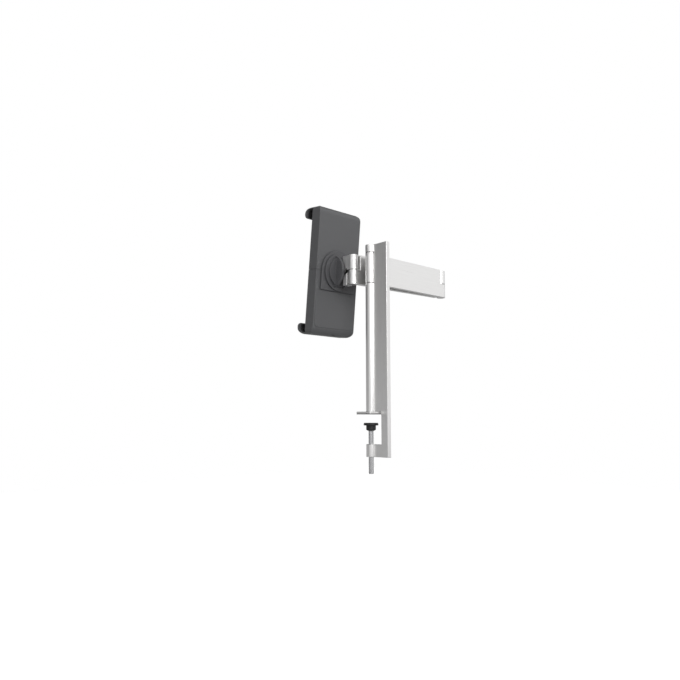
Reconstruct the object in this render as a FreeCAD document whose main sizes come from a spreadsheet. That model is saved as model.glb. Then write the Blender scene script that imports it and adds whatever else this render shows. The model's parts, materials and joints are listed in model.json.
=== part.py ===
# Tablet holder on a folding double arm, held to a table edge by a screw clamp.
# Millimetres. Origin on the post's round bead, level with the face the clamp plate lies on, +Z up.
# The tablet faces -Y, the table lies towards -Y, and the folded arms lie along -X.
import FreeCAD, Part
import Sketcher
import math
import os
import re
from FreeCAD import Placement, Rotation, Vector

# The driving dimensions: alias, value in mm or degrees, what it is.
SIZES = (
    ("bead_radius", 7.25, "round bead of the post and arm profiles"),
    ("web_thickness", 7.25, "flat web of the post and arm profiles"),
    ("post_depth", 34.0, "from the bead's axis to the post's outer edge"),
    ("post_top", 260.0, "top end of the post above the face the clamp plate lies on"),
    ("post_bottom", -62.8, "bottom end of the post"),
    ("throat_top", 4.0, "upper side of the clamp's throat"),
    ("throat_bottom", -44.3, "lower side of the clamp's throat"),
    ("throat_wall", 21.0, "inner wall of the throat, from the bead's axis"),
    ("plate_width", 40.0, "upper clamp plate along the edge that it grips"),
    ("plate_front", -11.5, "front edge of the clamp plate"),
    ("plate_back", 17.7, "rear edge of the clamp plate"),
    ("plate_corner", 2.0, "corner rounding of the clamp plate"),
    ("pad_thickness", 1.0, "rubber sheet under the clamp plate and on the foot"),
    ("plate_screw_radius", 2.0, "thread of the screws that hold the clamp plate"),
    ("plate_screw_length", 14.0, "screws of the clamp plate"),
    ("plate_screw_y", 12.5, "second plate screw, in the web"),
    ("foot_radius", 11.0, "disc of the pressure foot"),
    ("foot_top", -12.6, "face of the pressure foot"),
    ("foot_disc", 2.8, "thickness of the foot's disc"),
    ("foot_hub_radius", 7.3, "hub of the pressure foot"),
    ("foot_hub_height", 6.4, "straight part of the foot's hub"),
    ("foot_dome_radius", 4.6, "lower end of the foot's rounded hub"),
    ("foot_dome", 1.6, "height of the rounded end of the hub"),
    ("journal_radius", 2.75, "end of the spindle inside the foot"),
    ("journal_length", 8.8, "how far the spindle reaches into the foot"),
    ("spindle_radius", 4.0, "clamp spindle over its thread"),
    ("spindle_end", -87.9, "lower end of the spindle"),
    ("spindle_chamfer", 0.8, "chamfer at the spindle's lower end"),
    ("socket_radius", 2.9, "corners of the spindle's hexagon socket"),
    ("socket_depth", 5.0, "depth of the hexagon socket"),
    ("knuckle_bottom", 200.0, "lower face of the notch in the post's bead"),
    ("knuckle_height", 48.3, "height of the notch in the post's bead"),
    ("notch_gap", 0.6, "radial room round the arm's bead in the notch"),
    ("slot_gap", 1.6, "room between a bead and the cut end of a web"),
    ("washer_thickness", 0.6, "plastic washers between the knuckles"),
    ("washer_radius", 6.8, "outside of the knuckle washers"),
    ("face_gap", 0.05, "running clearance between washers and faces"),
    ("running_gap", 0.05, "radial clearance of pins and spindle"),
    ("pin_radius", 3.0, "steel hinge pins"),
    ("pin_head_radius", 4.5, "heads of the hinge pins"),
    ("pin_head_height", 2.0, "height of the hinge pins' heads"),
    ("pin_recess", 0.4, "depth of the pin heads below the profile's end"),
    ("pin_seat", 20.0, "how far the shoulder pin reaches below the notch"),
    ("inner_length", 181.0, "shoulder axis to elbow axis, along the web"),
    ("outer_length", 192.0, "elbow axis to wrist axis, along the web"),
    ("fold_angle", 3.75, "angle between the folded arms"),
    ("head_reach", 22.0, "wrist axis to tilt axis"),
    ("bracket_half", 6.0, "half the width of the head bracket"),
    ("block_reach", 17.0, "wrist axis to the end of the full height block"),
    ("stop_depth", 2.5, "black stop let through the head bracket, along its reach"),
    ("stop_height", 8.0, "height of that stop"),
    ("stop_reach", 10.2, "wrist axis to the middle of that stop"),
    ("stop_drop", 1.0, "middle of the stop below the tilt axis"),
    ("lug_radius", 7.0, "rounded end of the head bracket's lug"),
    ("tilt_angle", 5.4, "how far the holder leans back"),
    ("tilt_offset", 15.0, "tilt axis to the holder's back"),
    ("tilt_bolt_radius", 3.0, "shank of the tilt bolt"),
    ("tilt_head_radius", 4.6, "head of the tilt bolt"),
    ("tilt_head_height", 3.0, "height of the tilt bolt's head"),
    ("tilt_nut_radius", 5.6, "corners of the tilt nut"),
    ("tilt_nut_height", 3.2, "height of the tilt nut"),
    ("tilt_recess", 0.4, "how deep the bolt's head and the nut are sunk"),
    ("friction_radius", 6.5, "friction washers of the tilt joint"),
    ("friction_thickness", 1.0, "thickness of the friction washers"),
    ("ear_radius", 26.0, "rounding of the hub's ears"),
    ("ear_centre", -1.0, "holder's back to the centre of the ears' rounding"),
    ("ear_thickness", 5.0, "thickness of each ear"),
    ("hub_radius", 30.0, "turntable disc of the hub"),
    ("hub_low", 3.6, "holder's back to the disc's near face"),
    ("hub_high", 6.2, "holder's back to the disc's far face"),
    ("hub_step_radius", 24.0, "raised step on the turntable disc"),
    ("hub_step", 10.0, "holder's back to the face of that step"),
    ("lug_gap", 0.6, "room round the lug in the turntable"),
    ("spigot_radius", 9.0, "pivot of the turntable"),
    ("hub_washer_radius", 10.4, "washer that keeps the turntable in"),
    ("hub_washer_thickness", 1.0, "thickness of that washer"),
    ("hub_screw_radius", 2.5, "thread of the turntable's screw"),
    ("hub_screw_length", 8.0, "how deep that screw goes into the pivot"),
    ("hub_screw_head", 4.5, "radius of that screw's head"),
    ("hub_head_height", 2.6, "height of that screw's head"),
    ("back_plate_radius", 35.0, "arched top of the back plate"),
    ("back_plate_drop", 31.0, "centre to the lower edge of the back plate"),
    ("back_plate_thickness", 3.0, "thickness of the back plate"),
    ("slide_gap", 0.3, "clearance between the sliding pieces"),
    ("boss_radius", 14.5, "boss between carrier and back plate"),
    ("carrier_gap", 2.0, "from the carrier's end to the racks' feet"),
    ("carrier_thickness", 3.0, "thickness of the carrier"),
    ("carrier_screw_radius", 1.25, "thread of the carrier's screws"),
    ("carrier_screw_pitch", 11.9, "distance of those screws from the centre"),
    ("carrier_screw_head", 2.2, "radius of their heads"),
    ("holder_width", 88.0, "width of the holder"),
    ("holder_half", 102.0, "half the length of the closed holder"),
    ("holder_depth", 19.0, "depth of the holder without its hooks"),
    ("wall", 2.0, "wall of the holder's shells"),
    ("end_wall", 8.0, "thicker wall at the hook end"),
    ("end_radius", 12.0, "rounding from the back to the end"),
    ("hook_radius", 12.0, "outer rounding of the hooks"),
    ("hook_inner_radius", 8.0, "inner rounding of the hooks"),
    ("lip_radius", 1.9, "rounded end of the lips"),
    ("corner_radius", 8.0, "rounding of the holder's corners"),
    ("lip_corner", 6.0, "rounding of the ends of the lips"),
    ("split_gap", 0.15, "half the gap between the two closed shells"),
    ("hook_reach", 18.5, "how far the hooks stand beyond the front"),
    ("hook_thickness", 3.0, "arm of each hook"),
    ("lip_thickness", 4.0, "lip of each hook"),
    ("lip_length", 15.0, "length of each lip below the hook's arm"),
    ("rib_width", 3.0, "ribs that guide the carrier"),
    ("rib_height", 2.0, "depth of those ribs"),
    ("screw_boss_radius", 3.5, "bosses for the cover screws"),
    ("screw_step", 4.0, "cover screws from the line of the pinion's axis, outwards"),
    ("screw_inset", 4.5, "cover screws from the end of the hollow"),
    ("cover_screw_radius", 1.5, "thread of the cover screws"),
    ("cover_screw_head", 2.8, "radius of their countersunk heads"),
    ("cover_screw_length", 10.0, "length of the cover screws"),
    ("grip_thickness", 1.0, "rubber strips on the front and in the hooks"),
    ("grip_side", 4.0, "rubber strips from the holder's sides"),
    ("lining", 1.4, "rubber lining of the hooks"),
    ("grip_low", 14.0, "inner end of the front strip"),
    ("grip_margin", 22.0, "outer end of the front strip from the holder's end"),
    ("panel_height", 0.8, "raised panel on the lower shell's back"),
    ("panel_inset", 2.5, "that panel from the shell's sides"),
    ("panel_radius", 6.0, "lower corners of that panel"),
    ("pinion_shift", 0.7, "pinion's axis from midway between washer and guide rib"),
    ("tooth_module", 1.0, "module of the rack teeth"),
    ("rack_thickness", 5.0, "thickness of racks and pinion"),
    ("rack_back", 3.1, "solid bar behind the rack's teeth"),
    ("rack_tail", 58.0, "free end of each rack from the centre"),
    ("rack_foot", 8.0, "foot that holds each rack in its shell"),
    ("rack_foot_gap", 6.0, "from the rack's foot to the end of the hollow"),
    ("rack_side_gap", 0.45, "from the lower rack's foot to the guide rib"),
    ("pinion_pin_radius", 2.0, "pin of the pinion"),
    ("pinion_pin_head", 3.2, "head of the pinion's pin"),
    ("peg_radius", 1.5, "pegs that hold the springs"),
    ("peg_height", 6.0, "height of the pegs above the carrier"),
    ("peg_z", 8.0, "carrier pegs from the centre"),
    ("peg_inset", 10.0, "shell pegs from the end of the hollow"),
    ("upper_spring_x", -20.0, "spring of the upper shell from the middle line"),
    ("lower_spring_inset", 6.0, "spring of the lower shell from the guide rib"),
    ("spring_radius", 2.4, "outside of the springs' coils"),
    ("spring_wire", 0.5, "wire of the springs"),
    ("spring_hook", 16.0, "straight wire between a spring's coils and its shell's peg"),
)
TEETH = 14
RACK_TEETH = 20

doc = FreeCAD.newDocument("tablet_clamp_holder")
sheet = doc.addObject("Spreadsheet::Sheet", "dims")
for row, (alias, value, meaning) in enumerate(SIZES, start=1):
    sheet.set(f"A{row}", alias)
    sheet.set(f"B{row}", str(value))
    sheet.set(f"C{row}", meaning)
    sheet.setAlias(f"B{row}", alias)
doc.recompute()
NAMES = {alias for alias, _, _ in SIZES}

# Sizes that several pieces share, written with the aliases above.
KNUCKLE_TOP = "(knuckle_bottom + knuckle_height)"
MIDDLE = "(knuckle_bottom + knuckle_height / 2)"
ARM_BOTTOM = "(knuckle_bottom + washer_thickness + face_gap)"
ARM_TOP = "(knuckle_bottom + knuckle_height - washer_thickness - face_gap)"
HALF_TOP = "(knuckle_bottom + knuckle_height / 2 - washer_thickness / 2)"
HALF_BOTTOM = f"({HALF_TOP} + washer_thickness + face_gap)"
BEAD_ROOM = "(bead_radius + slot_gap)"
FOOT_UNDER = "(foot_top - pad_thickness - foot_disc - foot_hub_height - foot_dome)"
EAR_IN = "(bracket_half + friction_thickness + face_gap)"
EAR_OUT = f"({EAR_IN} + ear_thickness)"
FRONT = "(tilt_offset + holder_depth)"
CARRIER_BACK = "(tilt_offset + wall + slide_gap)"
CARRIER_FRONT = f"({CARRIER_BACK} + carrier_thickness)"
RACK_BACK = f"({CARRIER_FRONT} + slide_gap)"
RACK_FRONT = f"({RACK_BACK} + rack_thickness)"
PITCH_RADIUS = f"(tooth_module * {TEETH} / 2)"
RIB_EDGE = "(holder_width / 2 - wall - rib_width)"
PINION_X = f"((hub_washer_radius + {RIB_EDGE}) / 2 - pinion_shift)"
SCREW_X = f"({PINION_X} + screw_step)"
SPRING_X = {"upper": "upper_spring_x", "lower": f"(lower_spring_inset - {RIB_EDGE})"}
HOLLOW_END = "(holder_half - end_wall)"
SCREW_Z = f"({HOLLOW_END} - screw_inset)"
RACK_FOOT_Z = f"({HOLLOW_END} - rack_foot_gap - rack_foot)"
CARRIER_HALF = f"({RACK_FOOT_Z} - carrier_gap)"
SHELL_PEG_Z = f"({HOLLOW_END} - peg_inset)"
COILS = f"({SHELL_PEG_Z} - spring_hook - peg_z)"
GRIP_HIGH = "(holder_half - grip_margin)"
GRIP_HALF = "(holder_width / 2 - grip_side)"


def full(formula):
    """A formula with each alias written as a cell of the sheet."""
    return re.sub(r"[a-z][a-z_]+", lambda m: f"dims.{m[0]}" if m[0] in NAMES else m[0], formula)


def number(formula):
    """The value that a formula has now."""
    return float(sheet.evalExpression(full(formula).replace("dims.", "")))


def bind(thing, prop, formula):
    """Tie one property to the sheet."""
    thing.setExpression(prop, full(formula))


def new_body(name):
    return doc.addObject("PartDesign::Body", name)


def new_sketch(body, name, plane, start):
    """A sketch on one of the body's own planes, moved along its normal."""
    sketch = body.newObject("Sketcher::SketchObject", name)
    origin = next(f for f in body.Origin.OriginFeatures if f.Role == plane)
    sketch.AttachmentSupport = [(origin, "")]
    sketch.MapMode = "FlatFace"
    bind(sketch, "AttachmentOffset.Base.z", start)
    return sketch


def fix_point(sketch, geometry, end, place):
    """Hold one point of a sketch at two formulas."""
    for kind, formula in zip(("DistanceX", "DistanceY"), place):
        constraint = Sketcher.Constraint(kind, -1, 1, geometry, end, number(formula))
        index = sketch.addConstraint(constraint)
        bind(sketch, f"Constraints[{index}]", formula)


def draw_corners(sketch, corners):
    """A closed outline of straight lines through bound corners."""
    points = [Vector(number(a), number(b), 0) for a, b in corners]
    first = sketch.GeometryCount
    count = len(points)
    for n in range(count):
        sketch.addGeometry(Part.LineSegment(points[n], points[(n + 1) % count]), False)
    for n in range(count):
        following = first + (n + 1) % count
        sketch.addConstraint(Sketcher.Constraint("Coincident", first + n, 2, following, 1))
    for n, corner in enumerate(corners):
        fix_point(sketch, first + n, 1, corner)


def draw_circle(sketch, centre, radius):
    """A circle with bound centre and radius."""
    middle = Vector(number(centre[0]), number(centre[1]), 0)
    round_line = Part.Circle(middle, Vector(0, 0, 1), number(radius))
    geometry = sketch.addGeometry(round_line, False)
    fix_point(sketch, geometry, 3, centre)
    index = sketch.addConstraint(Sketcher.Constraint("Radius", geometry, number(radius)))
    bind(sketch, f"Constraints[{index}]", radius)


def draw_rounding(sketch, corner, side, radius):
    """What has to go outside a rounded corner: side says where the corner points."""
    (a, b), (p, q) = corner, side
    places = (
        (a, f"{b} - {q} * {radius}"),
        (f"{a} + {p}", f"{b} - {q} * {radius}"),
        (f"{a} + {p}", f"{b} + {q}"),
        (f"{a} - {p} * {radius}", f"{b} + {q}"),
        (f"{a} - {p} * {radius}", b),
    )
    points = [Vector(number(u), number(v), 0) for u, v in places]
    first = sketch.GeometryCount
    for n in range(4):
        sketch.addGeometry(Part.LineSegment(points[n], points[n + 1]), False)
    middle = Vector(points[4].x, points[0].y, 0)
    angles = sorted((math.atan2(0, p) % (2 * math.pi), math.atan2(q, 0) % (2 * math.pi)))
    if p > 0 and q < 0:
        angles = [1.5 * math.pi, 2 * math.pi]
    round_line = Part.ArcOfCircle(Part.Circle(middle, Vector(0, 0, 1), number(radius)), *angles)
    arc = sketch.addGeometry(round_line, False)
    for n in range(3):
        sketch.addConstraint(Sketcher.Constraint("Coincident", first + n, 2, first + n + 1, 1))
    start, end = (1, 2) if p * q > 0 else (2, 1)
    sketch.addConstraint(Sketcher.Constraint("Coincident", first, 1, arc, start))
    sketch.addConstraint(Sketcher.Constraint("Coincident", first + 3, 2, arc, end))
    for n in range(4):
        fix_point(sketch, first + n, 1, places[n])
    fix_point(sketch, arc, 3, (places[4][0], places[0][1]))
    across = Sketcher.Constraint("DistanceX", -1, 1, first + 3, 2, points[4].x)
    bind(sketch, f"Constraints[{sketch.addConstraint(across)}]", places[4][0])


def draw(sketch, shapes):
    for shape in shapes:
        if shape[0] == "circle":
            draw_circle(sketch, shape[1], shape[2])
        elif shape[0] == "rounding":
            draw_rounding(sketch, *shape[1:])
        else:
            draw_corners(sketch, shape[1])


def circle(a, b, radius):
    return "circle", (a, b), radius


def rectangle(a_low, a_high, b_low, b_high):
    corners = ((a_low, b_low), (a_high, b_low), (a_high, b_high), (a_low, b_high))
    return "corners", corners


def polygon(*corners):
    return "corners", corners


def pad(body, name, plane, shapes, start, length):
    """Add a prism, from start along the plane's normal."""
    sketch = new_sketch(body, name + "_sketch", plane, start)
    draw(sketch, shapes)
    feature = body.newObject("PartDesign::Pad", name)
    feature.Profile = sketch
    bind(feature, "Length", length)
    doc.recompute()
    return feature


def pocket(body, name, plane, shapes, start, length):
    """Cut a prism, from start along the plane's normal, and see that it cuts."""
    before = body.Shape.Volume
    sketch = new_sketch(body, name + "_sketch", plane, start)
    draw(sketch, shapes)
    feature = body.newObject("PartDesign::Pocket", name)
    feature.Profile = sketch
    bind(feature, "Length", length)
    feature.Reversed = True
    doc.recompute()
    if not body.Shape.Volume < before - 1e-3:
        raise ValueError(f"{name} cuts nothing, {sketch.State}, {feature.State}")
    return feature


def turned(name, corners):
    """A lathe part: an outline of radius and height, turned about Z."""
    body = new_body(name)
    sketch = new_sketch(body, name + "_sketch", "XZ_Plane", "0")
    draw_corners(sketch, corners)
    feature = body.newObject("PartDesign::Revolution", name + "_turn")
    feature.Profile = sketch
    feature.ReferenceAxis = (sketch, ["V_Axis"])
    feature.Angle = 360
    doc.recompute()
    return body


def round_edges(body, name, feature, radius, chosen):
    """Fillet the edges of a feature that the test chooses."""
    edges = [f"Edge{n}" for n, e in enumerate(feature.Shape.Edges, start=1) if chosen(e)]
    fillet = body.newObject("PartDesign::Fillet", name)
    fillet.Base = (feature, edges)
    bind(fillet, "Radius", radius)
    doc.recompute()
    return fillet


def along(edge, axis):
    """Is this a straight edge along one axis?"""
    if edge.Curve.TypeId != "Part::GeomLine":
        return False
    return abs(abs(edge.Curve.Direction.dot(axis)) - 1) < 1e-6


def block(name, low, high):
    """A box between two corners given as formulas."""
    thing = doc.addObject("Part::Box", name)
    for prop, axis, a, b in zip(("Length", "Width", "Height"), "xyz", low, high):
        bind(thing, prop, f"({b}) - ({a})")
        bind(thing, f"Placement.Base.{axis}", a)
    return thing


AXES = {"x": Vector(1, 0, 0), "y": Vector(0, 1, 0), "z": Vector(0, 0, 1)}


def rod(name, radius, start, length, axis="z"):
    """A cylinder from a start point along an axis."""
    thing = doc.addObject("Part::Cylinder", name)
    thing.Placement = Placement(Vector(), Rotation(Vector(0, 0, 1), AXES[axis]))
    bind(thing, "Radius", radius)
    bind(thing, "Height", length)
    for letter, formula in zip("xyz", start):
        bind(thing, f"Placement.Base.{letter}", formula)
    return thing


def hexagon(name, radius, start, length, axis="z"):
    """A six-sided prism from a start point along an axis."""
    thing = doc.addObject("Part::Prism", name)
    thing.Placement = Placement(Vector(), Rotation(Vector(0, 0, 1), AXES[axis]))
    thing.Polygon = 6
    bind(thing, "Circumradius", radius)
    bind(thing, "Height", length)
    for letter, formula in zip("xyz", start):
        bind(thing, f"Placement.Base.{letter}", formula)
    return thing


def joined(name, pieces):
    thing = doc.addObject("Part::MultiFuse", name)
    thing.Shapes = pieces
    thing.Refine = True
    return thing


def shared(name, pieces):
    thing = doc.addObject("Part::MultiCommon", name)
    thing.Shapes = pieces
    return thing


def cut(name, base, tool):
    thing = doc.addObject("Part::Cut", name)
    thing.Base = base
    thing.Tool = tool
    thing.Refine = True
    return thing


def group(name, pieces):
    """Like pieces that share one node, each its own solid."""
    thing = doc.addObject("Part::Compound", name)
    thing.Links = pieces
    return thing


# Where the moving groups stand at rest.
fold = math.radians(number("fold_angle"))
reach = number("outer_length")
web = number("web_thickness")
wrist = Vector(
    -number("inner_length") + reach * math.cos(fold) - web * math.sin(fold),
    -web - reach * math.sin(fold) - web * math.cos(fold),
    0,
)
HERE = Placement()
OUTER = Placement(
    Vector(-number("inner_length"), -web, 0), Rotation(AXES["z"], -number("fold_angle"))
)
HEAD = Placement(wrist, Rotation())
HOLDER = Placement(
    Vector(wrist.x, wrist.y - number("head_reach"), number(MIDDLE)),
    Rotation(AXES["x"], -number("tilt_angle")),
)
nodes = {}


def node(label, thing, place=HERE):
    """Name a finished sub-part and put its group's place on it."""
    thing.Label = label
    thing.Placement = place.multiply(thing.Placement)
    nodes[label] = thing


def screw(name, radius, head_radius, head_height, length):
    """A countersunk screw: its head's face at height 0, its tip upwards."""
    return turned(
        name,
        (
            ("0", "0"),
            (head_radius, "0"),
            (radius, head_height),
            (radius, length),
            ("0", length),
        ),
    )


def hinge_pin(name, low, high):
    """A steel pin whose head turns in a counterbore at the top."""
    head = f"{high} - pin_recess - pin_head_height"
    return turned(
        name,
        (
            ("0", f"{low} + pin_recess"),
            ("pin_radius", f"{low} + pin_recess"),
            ("pin_radius", head),
            ("pin_head_radius", head),
            ("pin_head_radius", f"{high} - pin_recess"),
            ("0", f"{high} - pin_recess"),
        ),
    )


def washer(name, outer, inner, low, high):
    return turned(name, ((inner, low), (outer, low), (outer, high), (inner, high)))


# Clamp plate: a flat bar screwed up into the post from below, with a rubber sheet.
plate_screws = []
for name, x, y in (("plate_screw_a", "0", "0"), ("plate_screw_b", "-web_thickness / 2", "plate_screw_y")):
    one = screw(
        name,
        "plate_screw_radius",
        "2 * plate_screw_radius - 0.4",
        "plate_screw_radius - 0.4",
        "plate_screw_length",
    )
    for letter, formula in zip("xyz", (x, y, "pad_thickness")):
        bind(one, f"Placement.Base.{letter}", formula)
    plate_screws.append(one)
node("plate_screws", group("plate_screws", plate_screws))

plate = new_body("plate_blank")
flat = pad(
    plate,
    "plate_bar",
    "XY_Plane",
    [rectangle("-plate_width / 2", "plate_width / 2", "plate_front", "plate_back")],
    "pad_thickness",
    "throat_top - pad_thickness",
)
round_edges(plate, "plate_corners", flat, "plate_corner", lambda e: along(e, AXES["z"]))
node("table_plate", cut("table_plate", plate, nodes["plate_screws"]))

sheet_pad = new_body("table_pad")
flat = pad(
    sheet_pad,
    "table_pad_sheet",
    "XY_Plane",
    [rectangle("-plate_width / 2", "plate_width / 2", "plate_front", "plate_back")],
    "0",
    "pad_thickness",
)
round_edges(sheet_pad, "table_pad_corners", flat, "plate_corner", lambda e: along(e, AXES["z"]))
node("table_pad", sheet_pad)

# Post: one length of bead and web profile, cut out for the clamp's mouth and for the inner arm.
post = new_body("post_blank")
SIDE_LOW = "-bead_radius - web_thickness"
SIDE_SPAN = "2 * bead_radius + 2 * web_thickness"
pad(
    post,
    "post_web",
    "XY_Plane",
    [rectangle("-web_thickness", "0", "0", "post_depth")],
    "post_bottom",
    "post_top - post_bottom",
)
pad(
    post,
    "post_bead",
    "XY_Plane",
    [circle("0", "0", "bead_radius")],
    "post_bottom",
    "post_top - post_bottom",
)
pocket(
    post,
    "throat",
    "YZ_Plane",
    [rectangle("-2 * bead_radius", "throat_wall", "throat_bottom", "throat_top")],
    SIDE_LOW,
    SIDE_SPAN,
)
pocket(
    post,
    "shoulder_notch",
    "XY_Plane",
    [circle("0", "0", "bead_radius + notch_gap")],
    "knuckle_bottom",
    "knuckle_height",
)
pocket(
    post,
    "shoulder_bore",
    "XY_Plane",
    [circle("0", "0", "pin_radius")],
    "knuckle_bottom - pin_seat",
    "post_top - knuckle_bottom + pin_seat",
)
pocket(
    post,
    "shoulder_counterbore",
    "XY_Plane",
    [circle("0", "0", "pin_head_radius")],
    "post_top - pin_recess - pin_head_height",
    "pin_recess + pin_head_height",
)
pocket(
    post,
    "jaw_bore",
    "XY_Plane",
    [circle("0", "0", "spindle_radius + running_gap")],
    "post_bottom",
    "throat_bottom - post_bottom",
)
node("post_profile", cut("post_profile", post, nodes["plate_screws"]))

shoulder_pin = turned(
    "shoulder_pin",
    (
        ("0", "knuckle_bottom - pin_seat"),
        ("pin_radius", "knuckle_bottom - pin_seat"),
        ("pin_radius", "post_top - pin_recess - pin_head_height"),
        ("pin_head_radius", "post_top - pin_recess - pin_head_height"),
        ("pin_head_radius", "post_top - pin_recess"),
        ("0", "post_top - pin_recess"),
    ),
)
node("shoulder_pin", shoulder_pin)
node(
    "shoulder_washers",
    group(
        "shoulder_washers",
        [
            washer(
                "shoulder_washer_low",
                "washer_radius",
                "pin_radius",
                "knuckle_bottom",
                "knuckle_bottom + washer_thickness",
            ),
            washer(
                "shoulder_washer_high",
                "washer_radius",
                "pin_radius",
                f"{KNUCKLE_TOP} - washer_thickness",
                KNUCKLE_TOP,
            ),
        ],
    ),
)

# Clamp screw: a foot that presses up from below, and the spindle that lifts it.
foot_blank = turned(
    "foot_blank",
    (
        ("0", FOOT_UNDER),
        ("foot_dome_radius", FOOT_UNDER),
        ("foot_hub_radius", f"{FOOT_UNDER} + foot_dome"),
        ("foot_hub_radius", "foot_top - pad_thickness - foot_disc"),
        ("foot_radius", "foot_top - pad_thickness - foot_disc"),
        ("foot_radius", "foot_top - pad_thickness"),
        ("0", "foot_top - pad_thickness"),
    ),
)
foot_bore = rod(
    "foot_bore",
    "journal_radius + running_gap",
    ("0", "0", FOOT_UNDER),
    "journal_length + face_gap",
)
node("pressure_foot", cut("pressure_foot", foot_blank, foot_bore))
foot_pad = turned(
    "foot_pad",
    (
        ("0", "foot_top - pad_thickness"),
        ("foot_radius - 0.5", "foot_top - pad_thickness"),
        ("foot_radius - 0.5", "foot_top"),
        ("0", "foot_top"),
    ),
)
node("foot_pad", foot_pad)
spindle_blank = turned(
    "spindle_blank",
    (
        ("0", "spindle_end"),
        ("spindle_radius - spindle_chamfer", "spindle_end"),
        ("spindle_radius", "spindle_end + spindle_chamfer"),
        ("spindle_radius", f"{FOOT_UNDER} - face_gap"),
        ("journal_radius", f"{FOOT_UNDER} - face_gap"),
        ("journal_radius", f"{FOOT_UNDER} - face_gap + journal_length"),
        ("0", f"{FOOT_UNDER} - face_gap + journal_length"),
    ),
)
socket = hexagon("spindle_socket", "socket_radius", ("0", "0", "spindle_end"), "socket_depth")
node("clamp_spindle", cut("clamp_spindle", spindle_blank, socket))

# Inner arm: the same profile, its elbow bead on the other side, with only a lower half there.
inner = new_body("inner_blank")
ARM_SPAN = f"{ARM_TOP} - {ARM_BOTTOM}"
pad(
    inner,
    "inner_web",
    "XY_Plane",
    [rectangle("-inner_length", "0", "-web_thickness", "0")],
    ARM_BOTTOM,
    ARM_SPAN,
)
pad(inner, "inner_shoulder_bead", "XY_Plane", [circle("0", "0", "bead_radius")], ARM_BOTTOM, ARM_SPAN)
pad(
    inner,
    "inner_elbow_bead",
    "XY_Plane",
    [circle("-inner_length", "-web_thickness", "bead_radius")],
    ARM_BOTTOM,
    ARM_SPAN,
)
pocket(
    inner,
    "inner_elbow_notch",
    "XY_Plane",
    [
        rectangle(
            "-inner_length - bead_radius - 1",
            f"-inner_length + {BEAD_ROOM}",
            "-web_thickness - bead_radius - 1",
            "1",
        )
    ],
    HALF_TOP,
    f"{ARM_TOP} - {HALF_TOP}",
)
pocket(
    inner,
    "inner_shoulder_bore",
    "XY_Plane",
    [circle("0", "0", "pin_radius + running_gap")],
    ARM_BOTTOM,
    ARM_SPAN,
)
pocket(
    inner,
    "inner_elbow_bore",
    "XY_Plane",
    [circle("-inner_length", "-web_thickness", "pin_radius")],
    f"{ARM_BOTTOM} + pin_recess",
    f"{HALF_TOP} - {ARM_BOTTOM} - pin_recess",
)
node("inner_arm", inner)
ELBOW = Placement(OUTER.Base, Rotation())
node("elbow_pin", hinge_pin("elbow_pin", ARM_BOTTOM, ARM_TOP), ELBOW)
elbow_washer = washer(
    "elbow_washer", "washer_radius", "pin_radius", HALF_TOP, f"{HALF_TOP} + washer_thickness"
)
node("elbow_washer", elbow_washer, ELBOW)

# Outer arm: upper half of the elbow, lower half of the wrist. Its own frame is at the elbow.
outer = new_body("outer_blank")
pad(
    outer,
    "outer_web",
    "XY_Plane",
    [rectangle("0", "outer_length", "-web_thickness", "0")],
    ARM_BOTTOM,
    ARM_SPAN,
)
pad(outer, "outer_elbow_bead", "XY_Plane", [circle("0", "0", "bead_radius")], ARM_BOTTOM, ARM_SPAN)
pad(
    outer,
    "outer_wrist_bead",
    "XY_Plane",
    [circle("outer_length", "-web_thickness", "bead_radius")],
    ARM_BOTTOM,
    ARM_SPAN,
)
pocket(
    outer,
    "outer_elbow_notch",
    "XY_Plane",
    [rectangle("-bead_radius - 1", BEAD_ROOM, "-bead_radius - 1", "bead_radius + 1")],
    ARM_BOTTOM,
    f"{HALF_BOTTOM} - {ARM_BOTTOM}",
)
pocket(
    outer,
    "outer_wrist_notch",
    "XY_Plane",
    [
        rectangle(
            f"outer_length - {BEAD_ROOM}",
            "outer_length + bead_radius + 1",
            "-web_thickness - bead_radius - 1",
            "1",
        )
    ],
    HALF_TOP,
    f"{ARM_TOP} - {HALF_TOP}",
)
pocket(
    outer,
    "outer_elbow_bore",
    "XY_Plane",
    [circle("0", "0", "pin_radius + running_gap")],
    HALF_BOTTOM,
    f"{ARM_TOP} - {HALF_BOTTOM}",
)
pocket(
    outer,
    "outer_elbow_counterbore",
    "XY_Plane",
    [circle("0", "0", "pin_head_radius + running_gap")],
    f"{ARM_TOP} - pin_recess - pin_head_height - face_gap",
    "pin_recess + pin_head_height + face_gap",
)
pocket(
    outer,
    "outer_wrist_bore",
    "XY_Plane",
    [circle("outer_length", "-web_thickness", "pin_radius")],
    f"{ARM_BOTTOM} + pin_recess",
    f"{HALF_TOP} - {ARM_BOTTOM} - pin_recess",
)
node("outer_arm", outer, OUTER)
node("wrist_pin", hinge_pin("wrist_pin", ARM_BOTTOM, ARM_TOP), HEAD)
wrist_washer = washer(
    "wrist_washer", "washer_radius", "pin_radius", HALF_TOP, f"{HALF_TOP} + washer_thickness"
)
node("wrist_washer", wrist_washer, HEAD)

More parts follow.
